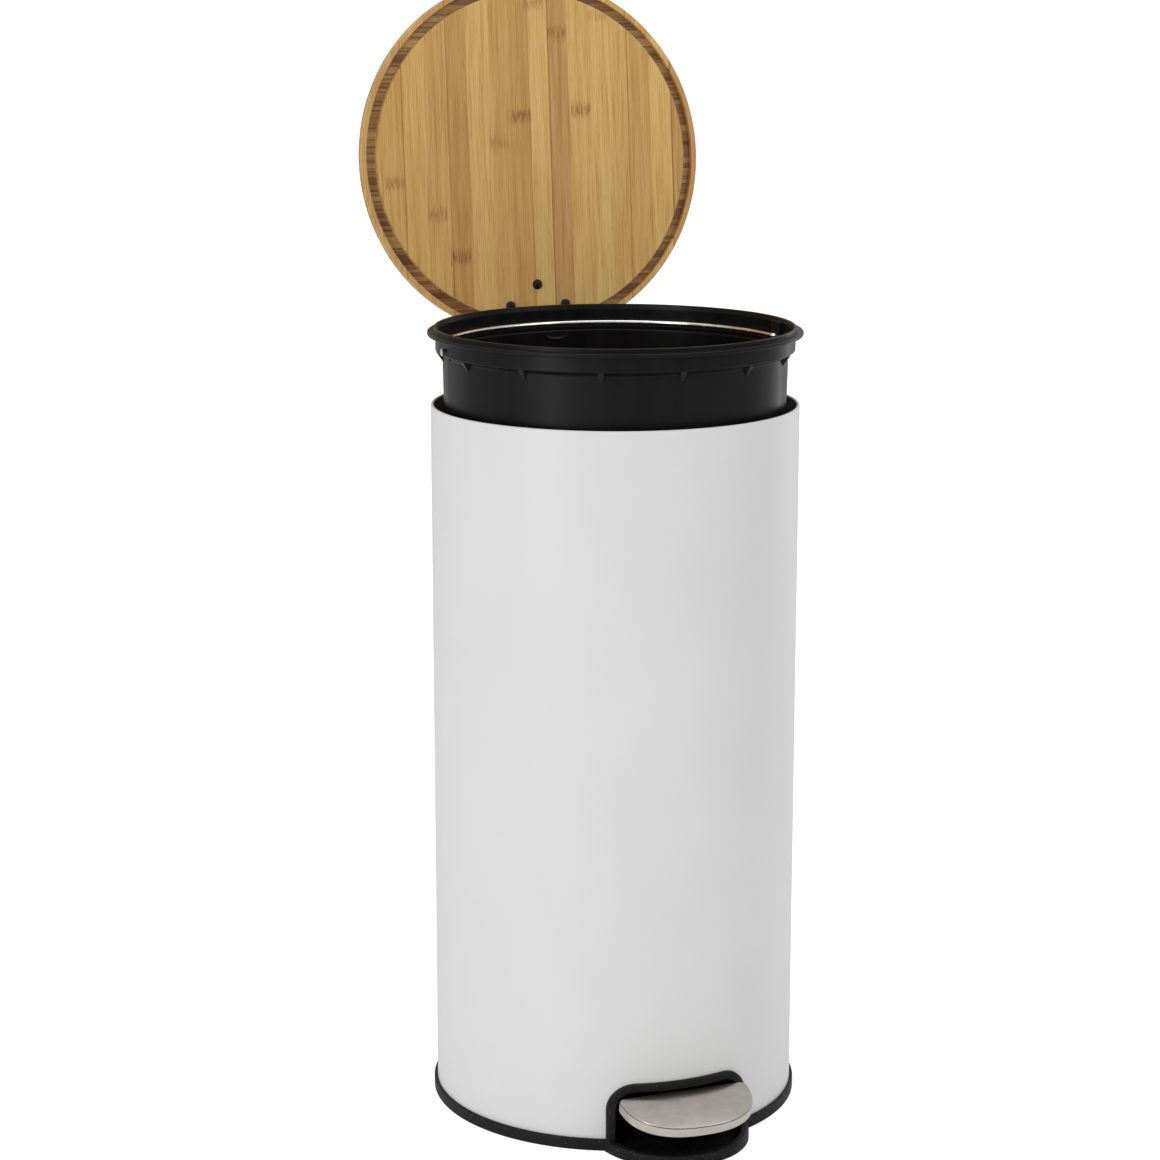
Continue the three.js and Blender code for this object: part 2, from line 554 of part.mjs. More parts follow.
add(bin, 'outer_shell', outerShell(), 'white_paint');
add(bin, 'base', base(), 'black_plastic');
footPadPlaces().forEach((place, i) => add(bin, `foot_pad_${i + 1}`, footPad(place), 'rubber'));

const pedal = pedalFrame();
bin.add(pedal);
add(pedal, 'pedal_cap', pedalCap(), 'pedal_steel');
add(pedal, 'pedal_core', pedalCore(), 'black_plastic');
pedalScrewPlaces().forEach((x, i) => add(pedal, `pedal_screw_${i + 1}`, pedalScrew(x), 'zinc_steel'));
add(bin, 'pedal_lever', pedalLever(), 'zinc_steel');

add(bin, 'pivot_bracket', pivotBracket(), 'zinc_steel');
add(bin, 'pivot_pin', pivotPin(), 'zinc_steel');
[-1, 1].forEach((side, i) => {
  add(bin, `pin_clip_${i + 1}`, pinClip(side), 'zinc_steel');
  add(bin, `bracket_screw_${i + 1}`, bracketScrew(side), 'zinc_steel');
});
add(bin, 'rest_pad', restPad(), 'rubber');
add(bin, 'press_pad', pressPad(), 'rubber');

add(bin, 'push_rod', pushRod(), 'zinc_steel');
add(bin, 'rod_foot', rodFoot(), 'black_plastic');
add(bin, 'rod_guide_lower', rodGuide(160), 'black_plastic');
add(bin, 'rod_guide_upper', rodGuide(430), 'black_plastic');

add(bin, 'hinge_housing', hingeHousing(), 'black_plastic');
[-1, 1].forEach((side, i) => add(bin, `housing_screw_${i + 1}`, housingScrew(side), 'zinc_steel'));
add(bin, 'hinge_pin', hingePin(), 'zinc_steel');

const { group: lidSwing, inner: lidPlace } = lidFrame();
bin.add(lidSwing);
add(lidPlace, 'lid', lid(), 'bamboo');
add(lidPlace, 'lid_bracket', lidBracket(), 'black_plastic');
LID_SCREWS.forEach((place, i) => add(lidPlace, `lid_screw_${i + 1}`, lidScrew(place), 'black_screw'));

const bucketGroup = new THREE.Group();
bucketGroup.position.z = SHELL_TOP_Z + FIT_GAP + BUCKET_FLANGE_T + BUCKET_LIFT;
bin.add(bucketGroup);
add(bucketGroup, 'inner_bucket', innerBucket(), 'bucket_plastic');
add(bucketGroup, 'bail_handle', bailHandle(), 'bail_steel').position.z = -BAIL_BELOW_FLANGE;

export default bin;
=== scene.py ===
"""Looks of a round pedal bin: white enamelled steel body, black moulded base, lift-out bucket,
bamboo lid and a brushed steel pedal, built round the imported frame.

Metres, +Z up, front of the bin at -Y. Sizes below are in millimetres and are named for the pieces.
"""

import json
from math import asin, atan2, cos, degrees, pi, radians, sin, sqrt, tan

import bmesh
import bpy
from mathutils import Matrix, Vector


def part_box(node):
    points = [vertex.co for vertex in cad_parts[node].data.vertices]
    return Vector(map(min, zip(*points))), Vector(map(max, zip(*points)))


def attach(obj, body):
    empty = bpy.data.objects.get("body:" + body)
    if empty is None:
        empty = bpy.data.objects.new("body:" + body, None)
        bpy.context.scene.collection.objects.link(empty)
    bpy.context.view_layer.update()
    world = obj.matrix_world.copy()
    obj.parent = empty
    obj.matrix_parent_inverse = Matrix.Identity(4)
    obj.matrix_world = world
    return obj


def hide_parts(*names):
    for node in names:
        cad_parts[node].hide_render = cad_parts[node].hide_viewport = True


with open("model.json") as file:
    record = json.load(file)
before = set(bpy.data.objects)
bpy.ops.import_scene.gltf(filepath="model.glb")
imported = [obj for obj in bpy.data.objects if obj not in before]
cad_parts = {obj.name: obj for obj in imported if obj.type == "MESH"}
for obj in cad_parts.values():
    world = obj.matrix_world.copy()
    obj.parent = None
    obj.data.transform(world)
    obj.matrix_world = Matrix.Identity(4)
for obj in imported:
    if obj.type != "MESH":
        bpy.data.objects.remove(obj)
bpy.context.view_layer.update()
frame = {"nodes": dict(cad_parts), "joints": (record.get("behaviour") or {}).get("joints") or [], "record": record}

# How bright the surroundings are on the pieces, and how much the paper glows by itself to the eye
WORLD_GLOW = 0.55
FLOOR_GLOW = 0.6

MM = 0.001
JOINTS = {joint["name"]: joint for joint in frame["joints"]}
BODY_OF = {node: body for body, nodes in frame["record"]["behaviour"]["bodies"].items() for node in nodes}
SLOT_OF = {node: held.data.materials[0].name for node, held in frame["nodes"].items()}


def box_mm(node):
    """Lowest and highest corner of a CAD node, in millimetres."""
    low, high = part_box(node)
    return low / MM, high / MM


# Sizes that follow the frame
SHELL_LOW, SHELL_HIGH = box_mm("outer_shell")
SHELL_R = SHELL_HIGH.x
SHELL_FOOT_Z = SHELL_LOW.z
SHELL_TOP_Z = SHELL_HIGH.z
BASE_R = 150.3
ARCH_TOP_Z = box_mm("base")[1].z
LID_R = box_mm("lid")[1].x
HINGE_Y, HINGE_Z = (value / MM for value in JOINTS["lid_hinge"]["pos_m"][1:])
LID_OPEN = -radians(JOINTS["lid_hinge"]["range_deg"][0])
LID_FACE_Z = HINGE_Z + 0.5
BUCKET_LOW, BUCKET_HIGH = box_mm("inner_bucket")
FLANGE_R = BUCKET_HIGH.x
BAIL_Z = JOINTS["bail_swing"]["pos_m"][2] / MM
PEDAL_HIGH = box_mm("pedal_cap")[1]

# Sizes of the finer shapes
WELD = 0.002                     # points closer than this are one
SHELL_WALL = 1.0
BEAD_R = 1.3
BEAD_CURL_H = 3.4                # how far below the rim the bead's curl ends inside
ROD_WINDOW_HALF_W = 8
ROD_WINDOW_Z = (502, 558)
HOUSING_SCREW_X = 24
HOUSING_SCREW_Z = 525
HOUSING_HOLE_R = 2.4
BASE_BAND_H = 9.5
BASE_FLOOR_Z = 4.2
BASE_UNDERSIDE_Z = 1.0
BASE_INNER_R = 143.5
BASE_INNER_H = 12.0
SHELL_SEAT_Z = 3.9
SHELL_GAP = 0.25                 # between the drum and the band round it
SEAT_GAP = 0.3                   # between the drum and the wall inside it
PIVOT_Y = -28.0
PIVOT_BOSS_R = 4.5
PIVOT_BOSS_REACH = 16.0          # from the pivot to each boss, to the front and to the back
PIVOT_BOSS_Z = (3.0, 8.2)
TRAY_CENTRE_Y = -128.0
TRAY_R = 62.0
TRAY_WALL = 7.0
TRAY_BACK_Y = -112.0
TRAY_FLOOR_Z = 3.4
ARCH_HALF = 59.5
ARCH_CORNER = 22.0
ARCH_FRAME = 6.5
ARCH_LAP = 2.4
ARCH_FACE_R = 151.3
ARCH_BACK_Y = -126.0
ARCH_LAP_DEPTH = 3.5
ARCH_FACE = [                    # the frame's face: distance in from its edge, depth behind its front
    (0.0, 3.5), (0.0, 1.0), (0.3, 0.3), (1.0, 0.0), (3.0, -0.1), (5.2, 0.0), (6.1, 0.4), (6.5, 1.2),
]
LID_T = 16.0
LID_EDGE_ROUND = 10.0
GROOVE_IN_R = 138.0
GROOVE_OUT_R = 146.4
GROOVE_DEPTH = 5.0
DISC_PROUD = 2.0
CORE_PLY = (4.6, 11.4)           # depths of the cross-grained middle layer of the lid
LID_SCREWS = [(0, 107.2), (-24.8, 124.8), (24.8, 124.8)]
LID_SCREW_HEAD_R = 4.3
LID_SCREW_HEAD_H = 2.6
LID_SCREW_SHANK_R = 2.0
FLANGE_T = 3.0
LIP_R = 144.6
LIP_H = 3.5
SHOULDER_R = 143.4
SHOULDER_H = 12.0
BUCKET_WALL_R = 137.8
BUCKET_FLOOR_R = 128.0
BUCKET_T = 2.0
STEP_H = 3.0
FLANGE_TOP_Z = BUCKET_HIGH.z - LIP_H
SHOULDER_Z = FLANGE_TOP_Z - FLANGE_T - SHOULDER_H
RIB_COUNT = 14
RIB_HALF_T = 2.4                 # at the shoulder; the gusset narrows to its foot
RIB_FOOT_HALF_T = 0.5
RIB_H = 9.0
BAIL_BOSS_HALF_W = 8.0
BAIL_BOSS_DROP = 6.5
CRESCENT_HALF_W = 10.5
CRESCENT_SAG = 6.5
CRESCENT_DROP = 17.6
BAIL_R = 137.9
BAIL_WIRE_R = 2.0
BAIL_BEND_R = 4.0
BAIL_END_X = 146.2
BAIL_PEEN = 1.45                 # the hammered end's width over the wire's
PEDAL_HALF_W = 54.0
PEDAL_DEPTH = 50.0
PEDAL_RIM = 8.5
PEDAL_SHEET = 1.2
PEDAL_SLOPE = radians(12.5)
PEDAL_ROUNDNESS = 2.4
PEDAL_CORNER_R = 5.0
PEDAL_EDGE_R = 0.8
PEDAL_CROWN = 2.0
PEDAL_FLARE = 0.35               # how far the rim stands out past the edge


# ---------------------------------------------------------------- shader helpers

def linear(hex_colour):
    """An sRGB hex colour as linear RGBA."""
    channels = [int(hex_colour[i:i + 2], 16) / 255 for i in (1, 3, 5)]
    return [c / 12.92 if c <= 0.04045 else ((c + 0.055) / 1.055) ** 2.4 for c in channels] + [1.0]


def put(tree, kind, links=None, stops=None, **settings):
    """One shader node. Settings are its properties. Links maps an input to a value or to another
    node's output. Stops are a colour ramp's (place, hex colour) pairs."""
    made = tree.nodes.new("ShaderNode" + kind)
    for name, value in settings.items():
        setattr(made, name, value)
    for key, value in (links or {}).items():
        if isinstance(value, bpy.types.NodeSocket):
            tree.links.new(value, made.inputs[key])
        else:
            made.inputs[key].default_value = value
    if stops:
        ramp = made.color_ramp
        while len(ramp.elements) < len(stops):
            ramp.elements.new(1.0)
        for element, (place, colour) in zip(ramp.elements, stops):
            element.position = place
            element.color = linear(colour)
    return made


def begin(name, **shader):
    """A new material, with its node tree, its shader and the piece's own coordinates in millimetres."""
    made = bpy.data.materials.new(name)
    made.use_nodes = True
    tree = made.node_tree
    surface = tree.nodes["Principled BSDF"]
    for socket, value in shader.items():
        surface.inputs[socket.replace("_", " ")].default_value = value
    place = put(tree, "TexCoord").outputs["Object"]
    in_mm = put(tree, "VectorMath", {0: place, 1: (1 / MM,) * 3}, operation="MULTIPLY").outputs[0]
    return made, tree, surface, in_mm


def stretched(tree, in_mm, grain, detail=3.0, rough=0.5, shift=0.0):
    """Noise whose grain is that many millimetres long in x, y and z."""
    scale = tuple(1 / length for length in grain)
    scaled = put(tree, "Mapping", {"Vector": in_mm, "Location": (shift,) * 3, "Scale": scale})
    return put(tree, "TexNoise", {
        "Vector": scaled.outputs[0], "Scale": 1.0, "Detail": detail, "Roughness": rough}).outputs["Fac"]


def remap(tree, value, low, high, to_low, to_high):
    return put(tree, "MapRange", {
        "Value": value, "From Min": low, "From Max": high, "To Min": to_low, "To Max": to_high}).outputs[0]


def calc(tree, operation, a, b=0.0):
    return put(tree, "Math", {0: a, 1: b}, operation=operation).outputs[0]


def mixed(tree, factor, a, b, blend="MIX"):
    """Colour a turned to colour b by the factor."""
    return put(tree, "Mix", {0: factor, 6: a, 7: b}, data_type="RGBA", blend_type=blend).outputs[2]


def relief(tree, surface, height, depth_mm, strength=1.0):
    bump = put(tree, "Bump", {"Height": height, "Strength": strength, "Distance": depth_mm * MM})
    tree.links.new(bump.outputs[0], surface.inputs["Normal"])
    return bump


# ---------------------------------------------------------------- materials

def powder_coated_steel():
    """Polyester powder coat, baked on: a satin white with a faint orange peel that softens
    every reflection."""
    made, tree, surface, in_mm = begin("powder_coated_steel", Roughness=0.42, Specular_IOR_Level=0.45)
    patches = stretched(tree, in_mm, (60, 60, 90), detail=2.0)
    specks = stretched(tree, in_mm, (0.7, 0.7, 0.7), detail=1.0, shift=3.0)
    tint = put(tree, "ValToRGB", {"Fac": patches}, stops=[(0.3, "#DADADA"), (0.7, "#DDDDDD")]).outputs[0]
    dusted = mixed(tree, remap(tree, specks, 0.72, 0.8, 0.0, 0.25), tint, linear("#BEBEBC"))
    tree.links.new(dusted, surface.inputs["Base Color"])
    tree.links.new(remap(tree, patches, 0.3, 0.7, 0.38, 0.46), surface.inputs["Roughness"])
    peel = stretched(tree, in_mm, (2.6, 2.6, 2.6), detail=1.5)
    relief(tree, surface, peel, 0.03, 0.35)
    return made


def textured_black_polypropylene():
    """Injection-moulded polypropylene from a spark-eroded mould: matt black with a fine grain
    and pale dust specks."""
    made, tree, surface, in_mm = begin("textured_black_polypropylene", Roughness=0.5, Specular_IOR_Level=0.2)
    grain = stretched(tree, in_mm, (0.7, 0.7, 0.7), detail=3.0)
    dust = stretched(tree, in_mm, (1.3, 1.3, 1.3), detail=0.5, shift=7.0)
    cloud = stretched(tree, in_mm, (35, 35, 35), detail=2.0)
    black = put(tree, "ValToRGB", {"Fac": cloud}, stops=[(0.3, "#0E0E0E"), (0.7, "#161616")]).outputs[0]
    rubs = stretched(tree, in_mm, (16, 16, 1.5), detail=3.0, rough=0.7, shift=13.0)
    rubbed = mixed(tree, remap(tree, rubs, 0.62, 0.72, 0.0, 0.35), black, linear("#2C2C2D"))
    dusted = mixed(tree, remap(tree, dust, 0.74, 0.77, 0.0, 0.8), rubbed, linear("#77746F"))
    tree.links.new(dusted, surface.inputs["Base Color"])
    tree.links.new(remap(tree, grain, 0.3, 0.7, 0.42, 0.6), surface.inputs["Roughness"])
    relief(tree, surface, grain, 0.05, 0.5)
    return made


def satin_bucket_polypropylene():
    """Moulded polypropylene from a polished mould: satin black, with upright flow marks and light scuffs."""
    made, tree, surface, in_mm = begin("satin_bucket_polypropylene", Roughness=0.36, Specular_IOR_Level=0.15)
    flow = stretched(tree, in_mm, (14, 14, 160), detail=3.0)
    scuffs = stretched(tree, in_mm, (30, 30, 0.6), detail=4.0, rough=0.7, shift=5.0)
    fine = stretched(tree, in_mm, (0.9, 0.9, 0.9), detail=2.0)
    black = put(tree, "ValToRGB", {"Fac": flow}, stops=[(0.3, "#0B0B0B"), (0.7, "#121212")]).outputs[0]
    rubbed = mixed(tree, remap(tree, scuffs, 0.64, 0.72, 0.0, 0.35), black, linear("#262626"))
    # Sharp edges are lightened by pointiness: a painted highlight where the edges of flange, lip and ribs catch
    # the light
    edge_sharpness = put(tree, "NewGeometry").outputs["Pointiness"]
    edge = mixed(tree, remap(tree, edge_sharpness, 0.52, 0.6, 0.0, 0.5), rubbed, linear("#302F2E"))
    tree.links.new(edge, surface.inputs["Base Color"])
    tree.links.new(remap(tree, flow, 0.3, 0.7, 0.3, 0.42), surface.inputs["Roughness"])
    relief(tree, surface, fine, 0.02, 0.3)
    return made


# Left edge in millimetres and tone of each face strip, as glued up
BAMBOO_STRIPS = [
    (-155, "#D0AA69"), (-115, "#D4AF6D"), (-95, "#CFA96A"), (-75, "#C39A5C"), (-57.5, "#D9B675"),
    (-37, "#D0A969"), (-20, "#CAA160"), (-2.5, "#DCB978"), (15.5, "#C69D62"), (33, "#DAB673"),
    (54, "#DCBB78"), (70.5, "#D6B16E"), (87, "#D1AA68"), (107, "#DBB874"), (127, "#C8A062"),
]
# Middle of each growth node's mark, across and along the strips, and how dark it is
BAMBOO_NODES = [
    (24.8, -104, 0.8), (44.5, -39, 0.85), (62, -118, 0.4), (4.5, -128, 0.7), (-9.7, -35, 1.0),
    (-29.6, -13, 0.45), (-122.9, 18.5, 0.7), (-86.5, 46, 0.65), (-67.5, 82, 0.95),
]
STRIP_RANGE = 155.0
GLUE_HALF_W = 0.25
NODE_HALF_W = 9.0
NODE_HALF_L = 6.5
NODE_RAGGED = 3.0                # how far a mark's fibres run past one another


def strip_place(x):
    """Where a place across the lid falls on a colour ramp."""
    return (x + STRIP_RANGE) / (2 * STRIP_RANGE)


def growth_nodes(tree, in_mm):
    """The short fibrous marks where the bamboo cane had its joints."""
    fibres = stretched(tree, in_mm, (0.75, 6.0, 3.0), detail=2.0, rough=0.5, shift=11.0)
    ragged = stretched(tree, in_mm, (1.1, 60, 30), detail=2.0, shift=2.0)
    torn = put(tree, "CombineXYZ", {1: remap(tree, ragged, 0.3, 0.7, -NODE_RAGGED, NODE_RAGGED)}).outputs[0]
    moved = put(tree, "VectorMath", {0: in_mm, 1: torn}, operation="ADD").outputs[0]
    whole = 0.0
    for x, y, strength in BAMBOO_NODES:
        offset = put(tree, "VectorMath", {0: moved, 1: (x, y, 0)}, operation="SUBTRACT").outputs[0]
        share = put(tree, "VectorMath", {0: offset, 1: (1 / NODE_HALF_W, 1 / NODE_HALF_L, 0)},
                    operation="MULTIPLY").outputs[0]
        size = put(tree, "SeparateXYZ", {
            0: put(tree, "VectorMath", {0: share}, operation="ABSOLUTE").outputs[0]})
        inside = calc(tree, "MULTIPLY", remap(tree, size.outputs[0], 0.92, 1.06, 1.0, 0.0),
                      remap(tree, size.outputs[1], 0.25, 1.15, strength, 0.0))
        whole = calc(tree, "MAXIMUM", inside, whole)
    return calc(tree, "MULTIPLY", whole, remap(tree, fibres, 0.38, 0.58, 0.1, 1.0))


def glue_lines():
    """Ramp stops that darken the glued joint between two strips."""
    stops = [(0.0, "#FFFFFF")]
    for x, _ in BAMBOO_STRIPS[1:]:
        stops += [(strip_place(x - GLUE_HALF_W), "#DCCBB4"), (strip_place(x + GLUE_HALF_W), "#FFFFFF")]
    return stops


def darkened(tree, base, pattern, stops):
    """The base colour multiplied by a ramp over a pattern."""
    shade = put(tree, "ValToRGB", {"Fac": pattern}, stops=stops).outputs[0]
    return mixed(tree, 1.0, base, shade, "MULTIPLY")


def cross_ply(tree, in_mm):
    """Cut ends of the middle ply: browner strips that lie the other way."""
    bands = stretched(tree, in_mm, (900, 15, 900), detail=1.0, shift=9.0)
    streaks = stretched(tree, in_mm, (40, 0.8, 0.8), detail=4.0, rough=0.6)
    tone = put(tree, "ValToRGB", {"Fac": bands}, stops=[
        (0.0, "#8A6440"), (0.4, "#AE8654"), (0.46, "#936B45"), (0.5, "#BE9A64"), (0.55, "#A17A4C"),
        (0.6, "#C8A46C")])
    tone.color_ramp.interpolation = "CONSTANT"
    return darkened(tree, tone.outputs[0], streaks, [(0.35, "#CDBFAF"), (0.65, "#FFFFFF")])


def laminated_bamboo():
    """Pressed bamboo board, three crossed plies under satin lacquer: long fine fibres, strips of
    differing tan, brown joint marks, and darker cross grain where the middle ply is cut open."""
    made, tree, surface, in_mm = begin(
        "laminated_bamboo", Roughness=0.5, Specular_IOR_Level=0.35, Coat_Weight=0.08, Coat_Roughness=0.35)
    axes = put(tree, "SeparateXYZ", {0: in_mm})
    across, _, depth = axes.outputs
    place = remap(tree, across, -STRIP_RANGE, STRIP_RANGE, 0.0, 1.0)
    tones = [(strip_place(x), tone) for x, tone in BAMBOO_STRIPS]
    strips = put(tree, "ValToRGB", {"Fac": place}, stops=tones)
    strips.color_ramp.interpolation = "CONSTANT"
    joints = put(tree, "ValToRGB", {"Fac": place}, stops=glue_lines())
    joints.color_ramp.interpolation = "CONSTANT"

    broad = stretched(tree, in_mm, (5.5, 150, 60), detail=3.0, rough=0.6)
    fibres = stretched(tree, in_mm, (0.9, 70, 20), detail=5.0, rough=0.7)
    vessels = stretched(tree, in_mm, (0.75, 14, 10), detail=2.0, rough=0.6, shift=4.0)
    toned = darkened(tree, strips.outputs[0], broad, [(0.32, "#EDE0CC"), (0.5, "#F9F5EE"), (0.7, "#FFFFFF")])
    combed = darkened(tree, toned, fibres, [(0.36, "#DECDB4"), (0.5, "#FAF6EF"), (0.64, "#FFFFFF")])
    pricked = mixed(tree, remap(tree, vessels, 0.62, 0.72, 0.0, 0.38), combed, linear("#8C6535"))
    glued = mixed(tree, 1.0, pricked, joints.outputs[0], "MULTIPLY")
    marks = growth_nodes(tree, in_mm)
    face = mixed(tree, calc(tree, "MULTIPLY", marks, 0.85), glued, linear("#7B5123"))
    in_core = calc(tree, "MULTIPLY", calc(tree, "GREATER_THAN", depth, CORE_PLY[0]),
                   calc(tree, "LESS_THAN", depth, CORE_PLY[1]))
    tree.links.new(mixed(tree, in_core, face, cross_ply(tree, in_mm)), surface.inputs["Base Color"])
    tree.links.new(remap(tree, fibres, 0.3, 0.7, 0.56, 0.42), surface.inputs["Roughness"])
    grooves = calc(tree, "SUBTRACT", fibres, calc(tree, "MULTIPLY", marks, 0.5))
    relief(tree, surface, grooves, 0.06, 0.5)
    return made


BEND_SHADE_HEIGHTS = (-1.2, -0.55)           # heights between which a dark band is painted along the pedal's bend: painted shade where the top turns down into the rim


def brushed_stainless():
    """Stainless sheet, stamped and then brushed from side to side: warm grey, long hairlines
    and soft blotches."""
    made, tree, surface, in_mm = begin("brushed_stainless", Metallic=1.0, Roughness=0.3)
    hairlines = stretched(tree, in_mm, (38, 0.32, 0.32), detail=4.0, rough=0.7)
    blotches = stretched(tree, in_mm, (17, 11, 11), detail=2.0, shift=2.0)
    steel = put(tree, "ValToRGB", {"Fac": blotches}, stops=[(0.3, "#BDB7AE"), (0.7, "#CECAC3")]).outputs[0]
    lined = mixed(tree, remap(tree, hairlines, 0.35, 0.65, 0.3, 0.0), steel, linear("#A29B91"))
    height = put(tree, "SeparateXYZ", {0: in_mm}).outputs[2]
    # Below the bend the rim is lightened: a painted highlight on the turned-down rim
    rim = mixed(tree, remap(tree, height, BEND_SHADE_HEIGHTS[0] - 0.1, BEND_SHADE_HEIGHTS[0], 0.35, 0.0), lined, linear("#D2CCC3"))
    # Between these heights the colour turns dark: painted shade along the bend
    in_painted_bend_shade = calc(tree, "MULTIPLY", calc(tree, "LESS_THAN", height, BEND_SHADE_HEIGHTS[1]),
                     calc(tree, "GREATER_THAN", height, BEND_SHADE_HEIGHTS[0]))
    tree.links.new(mixed(tree, in_painted_bend_shade, rim, linear("#58534C")), surface.inputs["Base Color"])
    rough = calc(tree, "ADD", remap(tree, hairlines, 0.3, 0.7, 0.27, 0.35),
                 remap(tree, blotches, 0.3, 0.7, 0.04, -0.03))
    tree.links.new(rough, surface.inputs["Roughness"])
    relief(tree, surface, hairlines, 0.012, 0.4)
    return made


def zinc_plated_steel():
    """Mild steel strip and rod, bright zinc plated: cool grey with a cloudy bloom and faint rolling lines."""
    made, tree, surface, in_mm = begin("zinc_plated_steel", Metallic=1.0, Roughness=0.38)
    bloom = stretched(tree, in_mm, (6, 6, 6), detail=4.0)
    rolling = stretched(tree, in_mm, (0.5, 20, 20), detail=3.0)
    zinc = put(tree, "ValToRGB", {"Fac": bloom}, stops=[(0.3, "#9A9C9F"), (0.7, "#BCBEC1")]).outputs[0]
    tree.links.new(zinc, surface.inputs["Base Color"])
    tree.links.new(remap(tree, bloom, 0.3, 0.7, 0.3, 0.48), surface.inputs["Roughness"])
    relief(tree, surface, rolling, 0.02, 0.4)
    return made


def bright_drawn_wire():
    """Nickel-plated drawn wire: a bright, slightly warm line with fine draw marks along it."""
    made, tree, surface, in_mm = begin("bright_drawn_wire", Metallic=1.0, Roughness=0.2)
    bloom = stretched(tree, in_mm, (9, 9, 9), detail=3.0)
    marks = stretched(tree, in_mm, (0.5, 0.5, 0.5), detail=2.0)
    nickel = put(tree, "ValToRGB", {"Fac": bloom}, stops=[(0.3, "#D8D2C8"), (0.7, "#F0EEEA")]).outputs[0]
    tree.links.new(nickel, surface.inputs["Base Color"])
    tree.links.new(remap(tree, bloom, 0.3, 0.7, 0.14, 0.28), surface.inputs["Roughness"])
    relief(tree, surface, marks, 0.01, 0.3)
    return made


def blackened_screw_steel():
    """Black-oxide steel screws: near black with a dull oily glint and lighter, rubbed edges."""
    made, tree, surface, in_mm = begin("blackened_screw_steel", Metallic=0.7, Roughness=0.35)
    oil = stretched(tree, in_mm, (1.6, 1.6, 1.6), detail=3.0)
    black = put(tree, "ValToRGB", {"Fac": oil}, stops=[(0.35, "#0E0E10"), (0.65, "#1E1E21")]).outputs[0]
    edge_sharpness = put(tree, "NewGeometry").outputs["Pointiness"]
    edge = mixed(tree, remap(tree, edge_sharpness, 0.53, 0.62, 0.0, 0.7), black, linear("#4C4C50"))
    tree.links.new(edge, surface.inputs["Base Color"])
    tree.links.new(remap(tree, oil, 0.3, 0.7, 0.26, 0.42), surface.inputs["Roughness"])
    relief(tree, surface, oil, 0.02, 0.3)
    return made


def grey_rubber():
    """Moulded rubber: dull dark grey, powdery where it has been handled."""
    made, tree, surface, in_mm = begin("grey_rubber", Roughness=0.85, Specular_IOR_Level=0.25)
    bloom = stretched(tree, in_mm, (3, 3, 3), detail=4.0)
    grey = put(tree, "ValToRGB", {"Fac": bloom}, stops=[(0.3, "#222222"), (0.7, "#343433")]).outputs[0]
    tree.links.new(grey, surface.inputs["Base Color"])
    tree.links.new(remap(tree, bloom, 0.3, 0.7, 0.75, 0.95), surface.inputs["Roughness"])
    relief(tree, surface, bloom, 0.04, 0.4)
    return made


def studio_paper():
    """Seamless white paper under the bin, with a barely visible tooth."""
    made, tree, surface, in_mm = begin("studio_paper", Roughness=0.9, Specular_IOR_Level=0.1)
    tooth = stretched(tree, in_mm, (4, 4, 4), detail=2.0)
    paper = put(tree, "ValToRGB", {"Fac": tooth}, stops=[(0.3, "#F6F6F6"), (0.7, "#F9F9F9")]).outputs[0]
    tree.links.new(paper, surface.inputs["Base Color"])
    seen = put(tree, "LightPath").outputs["Is Camera Ray"]
    surface.inputs["Emission Color"].default_value = linear("#FFFFFF")
    tree.links.new(remap(tree, seen, 0.0, 1.0, 0.0, FLOOR_GLOW), surface.inputs["Emission Strength"])
    return made


FINISH = {
    "white_paint": powder_coated_steel(),
    "black_plastic": textured_black_polypropylene(),
    "bucket_plastic": satin_bucket_polypropylene(),
    "bamboo": laminated_bamboo(),
    "pedal_steel": brushed_stainless(),
    "zinc_steel": zinc_plated_steel(),
    "bail_steel": bright_drawn_wire(),
    "black_screw": blackened_screw_steel(),
    "rubber": grey_rubber(),
}


# ---------------------------------------------------------------- mesh helpers

def filleted(corners, steps=6):
    """An outline from corners (a, b, radius): a corner with a radius becomes an arc that meets
    both its sides."""
    outline = []
    for i, (a, b, radius) in enumerate(corners):
        here = Vector((a, b))
        if not radius:
            outline.append(here)
            continue
        back = (Vector(corners[i - 1][:2]) - here).normalized()
        on = (Vector(corners[(i + 1) % len(corners)][:2]) - here).normalized()
        half = back.angle(on) / 2
        centre = here + (back + on).normalized() * radius / sin(half)
        start = here + back * radius / tan(half) - centre
        end = here + on * radius / tan(half) - centre
        first = atan2(start.y, start.x)
        turn = (atan2(end.y, end.x) - first + pi) % (2 * pi) - pi
        outline += [centre + radius * Vector((cos(first + turn * k / steps), sin(first + turn * k / steps)))
                    for k in range(steps + 1)]
    return outline


def arc(a, b, radius, start, end, steps):
    """Points on a circle round (a, b), between two angles in degrees."""
    return [Vector((a + radius * cos(radians(start + (end - start) * k / steps)),
                    b + radius * sin(radians(start + (end - start) * k / steps)))) for k in range(steps + 1)]


def skin(mesh, rings, closed_path=False, capped=True):
    """Quads between rings of points, each ring a closed section."""
    rows = [[mesh.verts.new(Vector(point) * MM) for point in ring] for ring in rings]
    count = len(rows[0])
    pairs = zip(rows, rows[1:] + rows[:1] if closed_path else rows[1:])
    for low, high in pairs:
        for k in range(count):
            mesh.faces.new((low[k], low[(k + 1) % count], high[(k + 1) % count], high[k]))
    if capped and not closed_path:
        mesh.faces.new(rows[0])
        mesh.faces.new(rows[-1][::-1])


